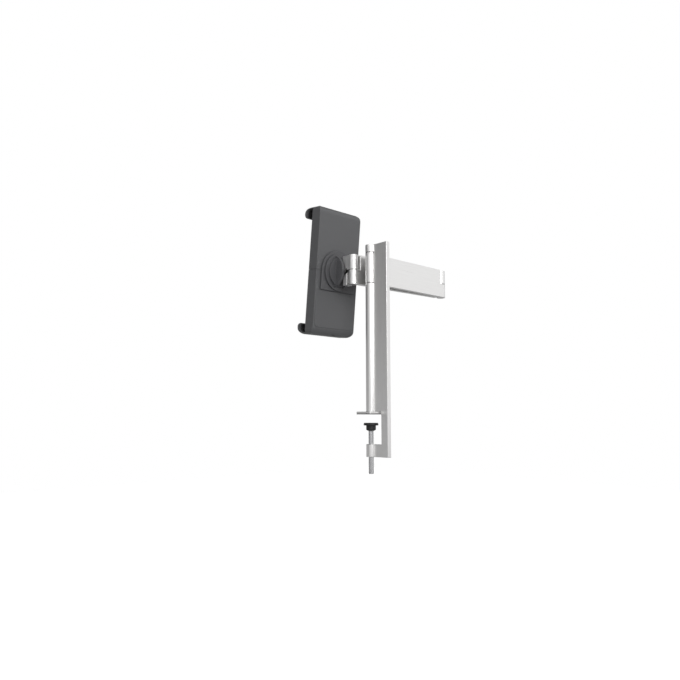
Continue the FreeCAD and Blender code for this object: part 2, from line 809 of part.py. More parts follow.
# Head bracket: upper half of the wrist and a lug for the tilt bolt. Its frame is at the wrist.
bracket = new_body("bracket_blank")
pad(
    bracket,
    "bracket_block",
    "XY_Plane",
    [rectangle("-bracket_half", "bracket_half", "-block_reach", "0")],
    ARM_BOTTOM,
    ARM_SPAN,
)
pad(bracket, "bracket_bead", "XY_Plane", [circle("0", "0", "bead_radius")], ARM_BOTTOM, ARM_SPAN)
pad(
    bracket,
    "bracket_neck",
    "YZ_Plane",
    [rectangle("-head_reach", "-block_reach", f"{MIDDLE} - lug_radius", f"{MIDDLE} + lug_radius")],
    "-bracket_half",
    "2 * bracket_half",
)
pad(
    bracket,
    "bracket_lug",
    "YZ_Plane",
    [circle("-head_reach", MIDDLE, "lug_radius")],
    "-bracket_half",
    "2 * bracket_half",
)
pocket(
    bracket,
    "bracket_notch",
    "XY_Plane",
    [rectangle("-bead_radius - 1", "bead_radius + 1", f"-{BEAD_ROOM}", "bead_radius + 1")],
    ARM_BOTTOM,
    f"{HALF_BOTTOM} - {ARM_BOTTOM}",
)
pocket(
    bracket,
    "bracket_bore",
    "XY_Plane",
    [circle("0", "0", "pin_radius + running_gap")],
    HALF_BOTTOM,
    f"{ARM_TOP} - {HALF_BOTTOM}",
)
pocket(
    bracket,
    "bracket_counterbore",
    "XY_Plane",
    [circle("0", "0", "pin_head_radius + running_gap")],
    f"{ARM_TOP} - pin_recess - pin_head_height - face_gap",
    "pin_recess + pin_head_height + face_gap",
)
pocket(
    bracket,
    "bracket_tilt_bore",
    "YZ_Plane",
    [circle("-head_reach", MIDDLE, "tilt_bolt_radius + running_gap")],
    "-bracket_half",
    "2 * bracket_half",
)
STOP = rectangle(
    "-stop_reach - stop_depth / 2",
    "-stop_reach + stop_depth / 2",
    f"{MIDDLE} - stop_drop - stop_height / 2",
    f"{MIDDLE} - stop_drop + stop_height / 2",
)
pocket(bracket, "bracket_stop_slot", "YZ_Plane", [STOP], "-bracket_half", "2 * bracket_half")
node("head_bracket", bracket, HEAD)
stop = new_body("stop_blank")
pad(stop, "stop_bar", "YZ_Plane", [STOP], "-bracket_half", "2 * bracket_half")
node("tilt_stop", stop, HEAD)


def tilt_washer(name, start):
    ring = rod(name + "_disc", "friction_radius", (start, "-head_reach", MIDDLE), "friction_thickness", "x")
    hole = rod(
        name + "_hole",
        "tilt_bolt_radius + running_gap",
        (start, "-head_reach", MIDDLE),
        "friction_thickness",
        "x",
    )
    return cut(name, ring, hole)


tilt_washers = [
    tilt_washer("tilt_washer_a", "bracket_half"),
    tilt_washer("tilt_washer_b", "-bracket_half - friction_thickness"),
]
node("tilt_washers", group("tilt_washers", tilt_washers), HEAD)

# Hub: a turntable disc with two half round ears and a pivot. From here on the frame is the
# holder's: the tilt axis is X, Y points out of the holder's back and Z along the holder.
HEAD_SEAT = f"({EAR_OUT} - tilt_recess - tilt_head_height)"
NUT_SEAT = f"({EAR_OUT} - tilt_recess - tilt_nut_height)"
shank = rod(
    "tilt_shank",
    "tilt_bolt_radius",
    (f"-{EAR_OUT} + tilt_recess", "0", "0"),
    f"{HEAD_SEAT} + {EAR_OUT} - tilt_recess",
    "x",
)
head = rod("tilt_head", "tilt_head_radius", (HEAD_SEAT, "0", "0"), "tilt_head_height", "x")
key = hexagon(
    "tilt_key", "tilt_bolt_radius", (f"{HEAD_SEAT} + tilt_head_height / 3", "0", "0"), "tilt_head_height", "x"
)
node("tilt_bolt", cut("tilt_bolt", joined("tilt_bolt_blank", [shank, head]), key), HOLDER)
nut_start = (f"-{EAR_OUT} + tilt_recess", "0", "0")
nut_blank = hexagon("tilt_nut_blank", "tilt_nut_radius", nut_start, "tilt_nut_height", "x")
nut_bore = rod("tilt_nut_bore", "tilt_bolt_radius", nut_start, "tilt_nut_height", "x")
node("tilt_nut", cut("tilt_nut", nut_blank, nut_bore), HOLDER)

hub = new_body("hub_disc")
pad(
    hub,
    "hub_turntable",
    "XZ_Plane",
    [circle("0", "0", "hub_radius")],
    "tilt_offset - hub_high",
    "hub_high - hub_low",
)
pad(
    hub,
    "hub_raised_step",
    "XZ_Plane",
    [circle("0", "0", "hub_step_radius")],
    "tilt_offset - hub_step",
    "hub_step - hub_high",
)
pad(
    hub,
    "hub_spigot",
    "XZ_Plane",
    [circle("0", "0", "spigot_radius")],
    "tilt_offset - hub_low",
    f"{CARRIER_FRONT} + face_gap - tilt_offset + hub_low",
)
ears = []
for name, start in (("ear_a", EAR_IN), ("ear_b", f"-{EAR_OUT}")):
    middle = (start, "-tilt_offset + ear_centre", "0")
    round_part = rod(name + "_round", "ear_radius", middle, "ear_thickness", "x")
    room = block(
        name + "_half",
        (start, "-tilt_offset + hub_high", "-ear_radius"),
        (f"{start} + ear_thickness", "ear_radius", "ear_radius"),
    )
    ears.append(shared(name, [round_part, room]))
hub_screw = screw(
    "hub_screw_blank",
    "hub_screw_radius",
    "hub_screw_head",
    "hub_head_height",
    "hub_head_height + hub_screw_length",
)
hub_screw.Placement = Placement(
    Vector(0, -number(f"{CARRIER_FRONT} + face_gap + hub_washer_thickness"), 0),
    Rotation(AXES["z"], AXES["y"]),
)
bolt_hole = rod("ear_bore", "tilt_bolt_radius", (f"-{EAR_OUT}", "0", "0"), f"2 * {EAR_OUT}", "x")
doc.recompute()
head_hole = rod("ear_head_seat", "tilt_head_radius", (HEAD_SEAT, "0", "0"), f"{EAR_OUT} - {HEAD_SEAT}", "x")
nut_hole = hexagon(
    "ear_nut_seat", "tilt_nut_radius", (f"-{EAR_OUT}", "0", "0"), f"{EAR_OUT} - {NUT_SEAT}", "x"
)
lug_room = rod("lug_room", "lug_radius + lug_gap", (f"-{EAR_IN}", "0", "0"), f"2 * {EAR_IN}", "x")
doc.recompute()
hub_drilled = cut("hub_drilled", joined("hub_blank", [hub, *ears]), hub_screw)
for n, tool in enumerate((bolt_hole, head_hole, nut_hole, lug_room), start=1):
    hub_drilled = cut(f"hub_cut_{n}", hub_drilled, tool)
node("tilt_hub", hub_drilled, HOLDER)

hub_washer_blank = rod(
    "hub_washer_blank",
    "hub_washer_radius",
    ("0", f"-{CARRIER_FRONT} - face_gap - hub_washer_thickness", "0"),
    "hub_washer_thickness",
    "y",
)
node("hub_washer", cut("hub_washer", hub_washer_blank, hub_screw), HOLDER)
node("hub_screw", group("hub_screw", [hub_screw]), HOLDER)

# Back plate and carrier: a sandwich that the two shells slide through, screwed together.
carrier_screws = []
for quarter in range(4):
    angle = math.radians(45 + 90 * quarter)
    one = screw(
        f"carrier_screw_{quarter + 1}",
        "carrier_screw_radius",
        "carrier_screw_head",
        "carrier_screw_head - carrier_screw_radius",
        "carrier_thickness + wall + back_plate_thickness",
    )
    one.Placement = Placement(
        Vector(
            number("carrier_screw_pitch") * math.cos(angle),
            -number(CARRIER_FRONT),
            number("carrier_screw_pitch") * math.sin(angle),
        ),
        Rotation(AXES["z"], AXES["y"]),
    )
    carrier_screws.append(one)
carrier_screw_set = group("carrier_screws", carrier_screws)

back = new_body("back_plate_blank")
BACK_NEAR = "tilt_offset - slide_gap - back_plate_thickness"
pad(
    back,
    "back_arch",
    "XZ_Plane",
    [circle("0", "0", "back_plate_radius")],
    BACK_NEAR,
    "back_plate_thickness",
)
pad(
    back,
    "back_apron",
    "XZ_Plane",
    [rectangle("-back_plate_radius", "back_plate_radius", "-back_plate_drop", "0")],
    BACK_NEAR,
    "back_plate_thickness",
)
pocket(
    back,
    "back_apron_trim",
    "XZ_Plane",
    [rectangle("-back_plate_radius", "back_plate_radius", "-2 * back_plate_radius", "-back_plate_drop")],
    BACK_NEAR,
    "back_plate_thickness",
)
pocket(
    back,
    "back_bore",
    "XZ_Plane",
    [circle("0", "0", "spigot_radius + running_gap")],
    BACK_NEAR,
    "back_plate_thickness",
)
node("back_plate", cut("back_plate", back, carrier_screw_set), HOLDER)

carrier = new_body("carrier_blank")
CARRIER_EDGE = "holder_width / 2 - wall - slide_gap"
pad(
    carrier,
    "carrier_sheet",
    "XZ_Plane",
    [rectangle(f"-({CARRIER_EDGE})", CARRIER_EDGE, f"-{CARRIER_HALF}", CARRIER_HALF)],
    CARRIER_BACK,
    "carrier_thickness",
)
pad(
    carrier,
    "carrier_boss",
    "XZ_Plane",
    [circle("0", "0", "boss_radius")],
    "tilt_offset - slide_gap",
    "wall + 2 * slide_gap",
)
pad(
    carrier,
    "carrier_pegs",
    "XZ_Plane",
    [
        circle(SPRING_X["upper"], "-peg_z", "peg_radius"),
        circle(SPRING_X["lower"], "peg_z", "peg_radius"),
    ],
    CARRIER_FRONT,
    "peg_height",
)
pocket(
    carrier,
    "carrier_bore",
    "XZ_Plane",
    [circle("0", "0", "spigot_radius + running_gap")],
    "tilt_offset - slide_gap",
    "wall + 2 * slide_gap + carrier_thickness",
)
pocket(
    carrier,
    "pinion_pin_seat",
    "XZ_Plane",
    [circle(PINION_X, "0", "pinion_pin_radius")],
    CARRIER_BACK,
    "carrier_thickness",
)
node("carrier_plate", cut("carrier_plate", carrier, carrier_screw_set), HOLDER)
node("carrier_screws", group("placed_carrier_screws", carrier_screws), HOLDER)

pin_shank = rod(
    "pinion_pin_shank",
    "pinion_pin_radius",
    (PINION_X, f"-{RACK_FRONT} - face_gap", "0"),
    "carrier_thickness + slide_gap + rack_thickness + face_gap",
    "y",
)
pin_head = rod(
    "pinion_pin_top",
    "pinion_pin_head",
    (PINION_X, f"-{RACK_FRONT} - face_gap - 1", "0"),
    "1",
    "y",
)
node("pinion_pin", joined("pinion_pin", [pin_shank, pin_head]), HOLDER)


def spring(label, x, side):
    """A close wound tension spring as a tube, with a straight wire to the peg at each end."""
    centre = f"-{CARRIER_FRONT} - peg_height / 2"
    near = "-peg_z + peg_radius + face_gap"
    far = f"{SHELL_PEG_Z} - peg_radius - face_gap"
    low = "peg_z"
    start = (near, low) if side > 0 else (f"-({far})", f"-peg_z - {COILS}")
    tube = rod(label + "_tube", "spring_radius", (x, centre, start[1]), COILS)
    core = rod(label + "_core", "spring_radius - 2 * spring_wire", (x, centre, start[1]), COILS)
    wire = rod(label + "_wire", "spring_wire", (x, centre, start[0]), f"{far} - ({near})")
    cap = rod(
        label + "_cap", "spring_radius - spring_wire", (x, centre, start[1]), "2 * spring_wire"
    )
    other = rod(
        label + "_end",
        "spring_radius - spring_wire",
        (x, centre, f"{start[1]} + {COILS} - 2 * spring_wire"),
        "2 * spring_wire",
    )
    return joined(label, [cut(label + "_coil", tube, core), wire, cap, other])


node("upper_spring", spring("upper_spring", SPRING_X["upper"], 1), HOLDER)
node("lower_spring", spring("lower_spring", SPRING_X["lower"], -1), HOLDER)

# Rack and pinion: the pinion on the carrier makes both shells move alike.
# A tooth is a trapezium: half its width at the tip, at the pitch line and at the root.
TOOTH_TALL = "0.9 * tooth_module"
TOOTH_DEEP = "1.15 * tooth_module"
RACK_FOOT = f"({RIB_EDGE} - rack_side_gap - {PINION_X} - {PITCH_RADIUS} - {TOOTH_DEEP})"


def tooth(base, tip, half_root, half_tip, direction):
    """The outline of one tooth that points along the first axis of its sketch."""
    return polygon(
        (base, f"-{half_root}"),
        (f"{base} + {direction} * ({tip})", f"-{half_tip}"),
        (f"{base} + {direction} * ({tip})", half_tip),
        (base, half_root),
    )


pinion = new_body("pinion")
pad(
    pinion,
    "pinion_core",
    "XZ_Plane",
    [circle("0", "0", f"{PITCH_RADIUS} - {TOOTH_DEEP}")],
    RACK_BACK,
    "rack_thickness",
)
pinion_tooth = pad(
    pinion,
    "pinion_tooth",
    "XZ_Plane",
    [
        tooth(
            f"({PITCH_RADIUS} - {TOOTH_DEEP} - 0.4 * tooth_module)",
            f"{TOOTH_TALL} + {TOOTH_DEEP} + 0.4 * tooth_module",
            "1.02 * tooth_module",
            "0.28 * tooth_module",
            1,
        )
    ],
    RACK_BACK,
    "rack_thickness",
)
turns = pinion.newObject("PartDesign::PolarPattern", "pinion_teeth")
turns.Originals = [pinion_tooth]
turns.Axis = (pinion_tooth.Profile[0], ["N_Axis"])
turns.Angle = 360
turns.Occurrences = TEETH
pinion.Tip = turns
doc.recompute()
pocket(
    pinion,
    "pinion_bore",
    "XZ_Plane",
    [circle("0", "0", "pinion_pin_radius + running_gap")],
    RACK_BACK,
    "rack_thickness",
)
node("pinion", pinion, HOLDER.multiply(Placement(Vector(number(PINION_X), 0, 0), Rotation())))


def rack(label, side):
    """The upper rack runs left of the pinion, the lower one right of it, upside down."""
    body = new_body(label)
    pitch_line = f"{PINION_X} - {side} * {PITCH_RADIUS}"
    root = f"({pitch_line} - {side} * {TOOTH_DEEP})"
    low, high = f"-{side} * rack_tail", f"{side} * ({RACK_FOOT_Z} + rack_foot)"
    bar = pad(
        body,
        label + "_bar",
        "XZ_Plane",
        [rectangle(f"{root} - {side} * rack_back", root, low, high)],
        RACK_BACK,
        "rack_thickness",
    )
    pad(
        body,
        label + "_foot",
        "XZ_Plane",
        [
            rectangle(
                f"{root} - {side} * {RACK_FOOT}",
                root,
                f"{side} * {RACK_FOOT_Z}",
                f"{side} * ({RACK_FOOT_Z} + rack_foot)",
            )
        ],
        "tilt_offset + wall",
        "slide_gap + carrier_thickness + slide_gap + rack_thickness",
    )
    first = f"(-{side} * {RACK_TEETH - 2.5} * pi * tooth_module)"
    half_root, half_tip = "1.14 * tooth_module", "0.4 * tooth_module"
    reach_out = f"{side} * ({TOOTH_TALL} + {TOOTH_DEEP})"
    one = pad(
        body,
        label + "_tooth",
        "XZ_Plane",
        [
            polygon(
                (f"{root} - {side} * 0.3", f"{first} - {half_root}"),
                (f"{root} + {reach_out}", f"{first} - {half_tip}"),
                (f"{root} + {reach_out}", f"{first} + {half_tip}"),
                (f"{root} - {side} * 0.3", f"{first} + {half_root}"),
            )
        ],
        RACK_BACK,
        "rack_thickness",
    )
    row_of_teeth = body.newObject("PartDesign::LinearPattern", label + "_teeth")
    row_of_teeth.Originals = [one]
    row_of_teeth.Direction = (one.Profile[0], ["V_Axis"])
    row_of_teeth.Reversed = side < 0
    bind(row_of_teeth, "Length", f"{RACK_TEETH - 1} * pi * tooth_module")
    row_of_teeth.Occurrences = RACK_TEETH
    body.Tip = row_of_teeth
    doc.recompute()
    node(label, body, HOLDER)
    return bar


rack("upper_rack", 1)
rack("lower_rack", -1)

# Shells: back, sides, rounded end and hook in one moulding, with a cover let into the front.
INNER_EDGE = "holder_width / 2 - wall"


def half_holder(which, side):
    """One end of the holder with everything that slides with it."""
    s = str(side)
    body = new_body(which + "_blank")
    hook_back = f"-{FRONT} - hook_reach"
    z_low = f"{s} * split_gap"
    z_hook = f"{s} * (holder_half - hook_thickness)"
    z_lip = f"{s} * (holder_half - hook_thickness - lip_length)"
    profile = pad(
        body,
        which + "_profile",
        "YZ_Plane",
        [
            polygon(
                ("-tilt_offset", z_low),
                ("-tilt_offset", f"{s} * holder_half"),
                (hook_back, f"{s} * holder_half"),
                (hook_back, z_lip),
                (f"{hook_back} + lip_thickness", z_lip),
                (f"{hook_back} + lip_thickness", z_hook),
                (f"-{FRONT}", z_hook),
                (f"-{FRONT}", z_low),
            )
        ],
        "-holder_width / 2",
        "holder_width",
    )
    feature = profile
    for name, y, z, radius in (
        ("end", "-tilt_offset", f"{s} * holder_half", "end_radius"),
        ("hook", hook_back, f"{s} * holder_half", "hook_radius"),
        ("hook_inside", f"{hook_back} + lip_thickness", z_hook, "hook_inner_radius"),
        ("lip_outside", hook_back, z_lip, "lip_radius"),
        ("lip_inside", f"{hook_back} + lip_thickness", z_lip, "lip_radius"),
    ):
        place = Vector(0, number(y), number(z))

        def is_there(edge):
            return along(edge, AXES["x"]) and (edge.CenterOfMass - place).Length < 1e-4

        feature = round_edges(body, f"{which}_{name}", feature, radius, is_there)
    corners = [
        (
            "rounding",
            (f"{edge} * holder_width / 2", f"{s} * holder_half"),
            (edge, side),
            "corner_radius",
        )
        for edge in (-1, 1)
    ]
    pocket(
        body,
        which + "_corners",
        "XZ_Plane",
        corners,
        "tilt_offset - 1",
        "holder_depth + hook_reach + 2",
    )
    lip_ends = [
        (
            "rounding",
            (f"{edge} * holder_width / 2", z_lip),
            (edge, -side),
            "lip_corner",
        )
        for edge in (-1, 1)
    ]
    pocket(
        body,
        which + "_lip_ends",
        "XZ_Plane",
        lip_ends,
        f"{FRONT} + hook_reach - lip_thickness - 1",
        "lip_thickness + 2",
    )
    pocket(
        body,
        which + "_cavity",
        "XZ_Plane",
        [
            rectangle(
                f"-({INNER_EDGE})",
                INNER_EDGE,
                f"{s} * (split_gap - 1)",
                f"{s} * (holder_half - end_wall)",
            )
        ],
        "tilt_offset + wall",
        "holder_depth - wall",
    )
    ribs = []
    for edge in (-1, 1):
        ribs.append(
            rectangle(
                f"{edge} * ({INNER_EDGE} - rib_width)",
                f"{edge} * ({INNER_EDGE} + wall / 2)",
                z_low,
                f"{s} * (holder_half - end_wall - 8)",
            )
        )
    pad(body, which + "_guides", "XZ_Plane", ribs, RACK_BACK, "rib_height")
    bosses = [
        circle(f"{edge} * {SCREW_X}", f"{s} * {SCREW_Z}", "screw_boss_radius")
        for edge in (-1, 1)
    ]
    pad(body, which + "_bosses", "XZ_Plane", bosses, "tilt_offset + wall", "holder_depth - 2 * wall")
    peg = circle(SPRING_X[which], f"{s} * {SHELL_PEG_Z}", "peg_radius")
    pad(
        body,
        which + "_peg",
        "XZ_Plane",
        [peg],
        "tilt_offset + wall",
        "2 * slide_gap + carrier_thickness + peg_height",
    )
    pocket(
        body,
        which + "_hub_notch",
        "XZ_Plane",
        [circle("0", "0", "boss_radius + slide_gap")],
        "tilt_offset",
        "wall",
    )
    if side < 0:
        panel = pad(
            body,
            which + "_panel",
            "XZ_Plane",
            [
                rectangle(
                    "-holder_width / 2 + panel_inset",
                    "holder_width / 2 - panel_inset",
                    "-holder_half + end_radius",
                    "-back_plate_drop - slide_gap",
                )
            ],
            "tilt_offset - panel_height",
            "panel_height",
        )
        low_z = number("-holder_half + end_radius")

        def is_low(edge):
            middle = edge.CenterOfMass
            on_panel = abs(middle.y + number("tilt_offset - panel_height / 2")) < 1e-4
            return along(edge, AXES["y"]) and on_panel and abs(middle.z - low_z) < 1e-4

        round_edges(body, which + "_panel_corners", panel, "panel_radius", is_low)
    screws = []
    for edge in (-1, 1):
        one = screw(
            f"{which}_cover_screw_{'left' if edge < 0 else 'right'}",
            "cover_screw_radius",
            "cover_screw_head",
            "cover_screw_head - cover_screw_radius",
            "cover_screw_length",
        )
        one.Placement = Placement(
            Vector(edge * number(SCREW_X), -number(FRONT), side * number(SCREW_Z)),
            Rotation(AXES["z"], AXES["y"]),
        )
        screws.append(one)
    screw_set = group(which + "_cover_screws", screws)
    node(which + "_shell", cut(which + "_shell", body, screw_set), HOLDER)
    cover = block(
        which + "_cover_blank",
        (
            f"-({INNER_EDGE}) + 0.1",
            f"-{FRONT}",
            z_low if side > 0 else "-(holder_half - end_wall - 0.1)",
        ),
        (
            f"{INNER_EDGE} - 0.1",
            f"-{FRONT} + wall",
            "holder_half - end_wall - 0.1" if side > 0 else z_low,
        ),
    )
    node(which + "_cover", cut(which + "_cover", cover, screw_set), HOLDER)
    node(which + "_cover_screws", group(which + "_placed_screws", screws), HOLDER)
    low, high = ("grip_low", GRIP_HIGH) if side > 0 else (f"-{GRIP_HIGH}", "-grip_low")
    grip = block(
        which + "_grip_strip",
        (f"-{GRIP_HALF}", f"-{FRONT} - grip_thickness", low),
        (GRIP_HALF, f"-{FRONT}", high),
    )
    node(which + "_grip_pad", group(which + "_grip_pad", [grip]), HOLDER)
    lining = new_body(which + "_lining")
    inside = f"{hook_back} + lip_thickness"
    feature = pad(
        lining,
        which + "_lining_profile",
        "YZ_Plane",
        [
            polygon(
                (inside, f"{z_lip} + {s} * lip_radius"),
                (inside, z_hook),
                (f"-{FRONT}", z_hook),
                (f"-{FRONT}", f"{z_hook} - {s} * lining"),
                (f"{inside} + lining", f"{z_hook} - {s} * lining"),
                (f"{inside} + lining", f"{z_lip} + {s} * lip_radius"),
            )
        ],
        f"-{GRIP_HALF}",
        f"2 * {GRIP_HALF}",
    )
    for name, y, z, radius in (
        ("outer", inside, z_hook, "hook_inner_radius"),
        ("inner", f"{inside} + lining", f"{z_hook} - {s} * lining", "hook_inner_radius - lining"),
    ):
        place = Vector(0, number(y), number(z))

        def is_there(edge):
            return along(edge, AXES["x"]) and (edge.CenterOfMass - place).Length < 1e-4

        feature = round_edges(lining, f"{which}_lining_{name}", feature, radius, is_there)
    node(which + "_hook_pad", lining, HOLDER)


half_holder("upper", 1)
half_holder("lower", -1)

# Check every object, then write one file for each sub-part.
doc.recompute()
for thing in doc.Objects:
    if "Invalid" in thing.State or "Error" in thing.State:
        raise ValueError(f"{thing.Name} is {thing.State}")
for label, thing in nodes.items():
    shape = thing.Shape
    if shape.isNull() or not shape.isValid() or not shape.Solids:
        raise ValueError(f"{label} has no valid solid")
os.makedirs("parts", exist_ok=True)
for label, thing in nodes.items():
    thing.Shape.exportStep(f"parts/{label}.step")
print(f"{len(nodes)} sub-parts, wrist at {wrist.x:.3f}, {wrist.y:.3f}, tilt axis {HOLDER.Base}")
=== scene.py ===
import math

import bmesh
import bpy
from mathutils import Matrix, Vector
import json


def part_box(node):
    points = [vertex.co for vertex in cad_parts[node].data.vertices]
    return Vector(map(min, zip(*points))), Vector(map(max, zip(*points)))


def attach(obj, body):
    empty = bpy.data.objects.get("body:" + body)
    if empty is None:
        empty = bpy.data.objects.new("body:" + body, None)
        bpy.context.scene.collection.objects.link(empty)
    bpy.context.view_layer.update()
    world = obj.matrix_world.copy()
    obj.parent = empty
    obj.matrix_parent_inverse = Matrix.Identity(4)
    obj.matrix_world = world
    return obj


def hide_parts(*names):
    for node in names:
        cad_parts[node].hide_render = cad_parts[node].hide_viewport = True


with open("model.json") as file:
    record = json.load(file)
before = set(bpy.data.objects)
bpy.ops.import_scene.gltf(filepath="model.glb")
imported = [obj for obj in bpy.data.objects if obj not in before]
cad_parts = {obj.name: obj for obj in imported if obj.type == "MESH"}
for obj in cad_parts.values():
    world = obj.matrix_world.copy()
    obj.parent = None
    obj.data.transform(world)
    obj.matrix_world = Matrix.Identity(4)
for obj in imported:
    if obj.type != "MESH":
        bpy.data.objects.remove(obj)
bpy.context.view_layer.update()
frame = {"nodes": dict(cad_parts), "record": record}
scene = bpy.context.scene
nodes = frame["nodes"]

# Post: an aluminium extrusion, a round bead with a flat web, satin anodised. Its grain
# follows the extrusion, and the saw leaves a slightly broken edge at both ends.


def finish(name, colour, metallic, rough, grain=(1, 1, 1), scale=400, bump=0.05, spread=0.06):
    """A material whose roughness, tone and relief vary a little with noise on the object."""
    darkest, lightest, relief_depth = 0.94, 1.06, 0.0002
    material = bpy.data.materials.new(name)
    material.use_nodes = True
    tree = material.node_tree
    shader = tree.nodes["Principled BSDF"]
    shader.inputs["Metallic"].default_value = metallic
    place = tree.nodes.new("ShaderNodeTexCoord")
    stretch = tree.nodes.new("ShaderNodeMapping")
    stretch.inputs["Scale"].default_value = grain
    noise = tree.nodes.new("ShaderNodeTexNoise")
    noise.inputs["Scale"].default_value = scale
    noise.inputs["Detail"].default_value = 3
    gloss = tree.nodes.new("ShaderNodeMapRange")
    gloss.inputs["To Min"].default_value = rough - spread
    gloss.inputs["To Max"].default_value = rough + spread
    tone = tree.nodes.new("ShaderNodeMix")
    tone.data_type = "RGBA"
    tone.inputs["A"].default_value = (*(darkest * part for part in colour), 1)
    tone.inputs["B"].default_value = (*(lightest * part for part in colour), 1)
    relief = tree.nodes.new("ShaderNodeBump")
    relief.inputs["Strength"].default_value = bump
    relief.inputs["Distance"].default_value = relief_depth
    link = tree.links.new
    link(place.outputs["Object"], stretch.inputs["Vector"])
    link(stretch.outputs["Vector"], noise.inputs["Vector"])
    link(noise.outputs["Fac"], gloss.inputs["Value"])
    link(gloss.outputs["Result"], shader.inputs["Roughness"])
    link(noise.outputs["Fac"], tone.inputs["Factor"])
    link(tone.outputs["Result"], shader.inputs["Base Color"])
    link(noise.outputs["Fac"], relief.inputs["Height"])
    link(relief.outputs["Normal"], shader.inputs["Normal"])
    return material


def coat(material, *names):
    """Give CAD nodes a finish."""
    for name in names:
        nodes[name].data.materials.clear()
        nodes[name].data.materials.append(material)


touching = 1e-6


def break_edges(width, *names):
    """A fine bevel on the hard edges of CAD nodes, with shading that stays flat on flats.

    The flats' triangles are merged first, so that the bevel runs along whole edges.
    """
    flat_angle, hard_angle, favour_large = math.radians(0.6), math.radians(35), 80
    for name in names:
        mesh = nodes[name].data
        if "custom_normal" in mesh.attributes:
            mesh.attributes.remove(mesh.attributes["custom_normal"])
        mesh.shade_smooth()
        weld = nodes[name].modifiers.new("weld", "WELD")
        weld.merge_threshold = touching
        flats = nodes[name].modifiers.new("flats", "DECIMATE")
        flats.decimate_type = "DISSOLVE"
        flats.angle_limit = flat_angle
        edge = nodes[name].modifiers.new("edge", "BEVEL")
        edge.width = width
        edge.segments = 2
        edge.use_clamp_overlap = False
        edge.limit_method = "ANGLE"
        edge.angle_limit = hard_angle
        even = nodes[name].modifiers.new("even", "WEIGHTED_NORMAL")
        even.weight = favour_large


silver = (0.85, 0.845, 0.84)
along_post = finish("post_metal", silver, metallic=0.9, rough=0.3, grain=(1, 1, 0.02), scale=900)
coat(along_post, "post_profile")
break_edges(0.0006, "post_profile")

# Arms: two lengths of the same extrusion laid flat, one each side of the elbow, with the
# web cut back at the knuckles. The grain runs along them.
along_arm = finish("arm_metal", silver, metallic=0.9, rough=0.3, grain=(0.02, 1, 1), scale=900)
coat(along_arm, "inner_arm", "outer_arm")
break_edges(0.0006, "inner_arm", "outer_arm")

# Clamp plate and head bracket: milled from the same aluminium and blasted before they are
# anodised, so they have no direction of grain.
blasted = finish("blasted_metal", silver, metallic=0.9, rough=0.34, scale=1500, bump=0.12)
coat(blasted, "table_plate", "head_bracket")
break_edges(0.0003, "table_plate", "head_bracket")

# Hinge pins, screws, rivets and washers of the head: turned steel, bright plated. The
# clamp's spindle and the springs are the same steel, and get their fine shapes below.
steel = finish("steel", (0.74, 0.74, 0.75), metallic=1.0, rough=0.2, scale=500)
coat(
    steel,
    "plate_screws",
    "shoulder_pin",
    "elbow_pin",
    "wrist_pin",
    "hub_washer",
    "hub_screw",
    "carrier_screws",
    "pinion_pin",
    "upper_cover_screws",
    "lower_cover_screws",
    "clamp_spindle",
    "upper_spring",
    "lower_spring",
)

# Bearing washers and the stop in the head bracket: black acetal, cut from sheet and bar.
# It is a dull black with a trace of gloss where it rubs.
acetal = finish("acetal", (0.011, 0.011, 0.012), metallic=0.0, rough=0.45, scale=1500, bump=0.15)
# The stop's black is in part painted shade: it sits flush in the bracket's slot and darkens it more
# than the slot's own shade would.
coat(acetal, "shoulder_washers", "elbow_washer", "wrist_washer", "tilt_washers", "tilt_stop")

# Pressure foot: black moulded plastic with a rubber face, snapped on the spindle's end.
# The clamp plate carries the same rubber on its underside.
coat(acetal, "pressure_foot")
break_edges(0.0004, "pressure_foot")
rubber = finish("rubber", (0.026, 0.026, 0.027), metallic=0.0, rough=0.85, scale=900, bump=0.3)
coat(rubber, "table_pad", "foot_pad")

# Clamp spindle: an M8 steel rod with a rolled right-hand thread and a hexagon socket in
# its lower end. One turn of the thread's profile is spun upwards, turn after turn.


def only(kind, geometry):
    """The vertices, edges or faces among what a bmesh operator gave back."""
    return [item for item in geometry if isinstance(item, kind)]


def stack(shape, count, rise):
    """Repeat a whole shape upwards, count times in all, and join the copies where they touch."""
    one_turn = shape.verts[:] + shape.edges[:] + shape.faces[:]
    for turn in range(1, count):
        copy = bmesh.ops.duplicate(shape, geom=one_turn)["geom"]
        copied = only(bmesh.types.BMVert, copy)
        bmesh.ops.translate(shape, vec=(0, 0, turn * rise), verts=copied)
    bmesh.ops.remove_doubles(shape, verts=shape.verts[:], dist=touching)


def add_piece(name, shape, material, body, stands_for=None):
    """Turn a shape into a piece that rides on a body, and may stand for a CAD node."""
    mesh = bpy.data.meshes.new(name)
    shape.to_mesh(mesh)
    shape.free()
    mesh.materials.append(material)
    piece = bpy.data.objects.new(name, mesh)
    scene.collection.objects.link(piece)
    if stands_for:
        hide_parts(stands_for)
    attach(piece, body)


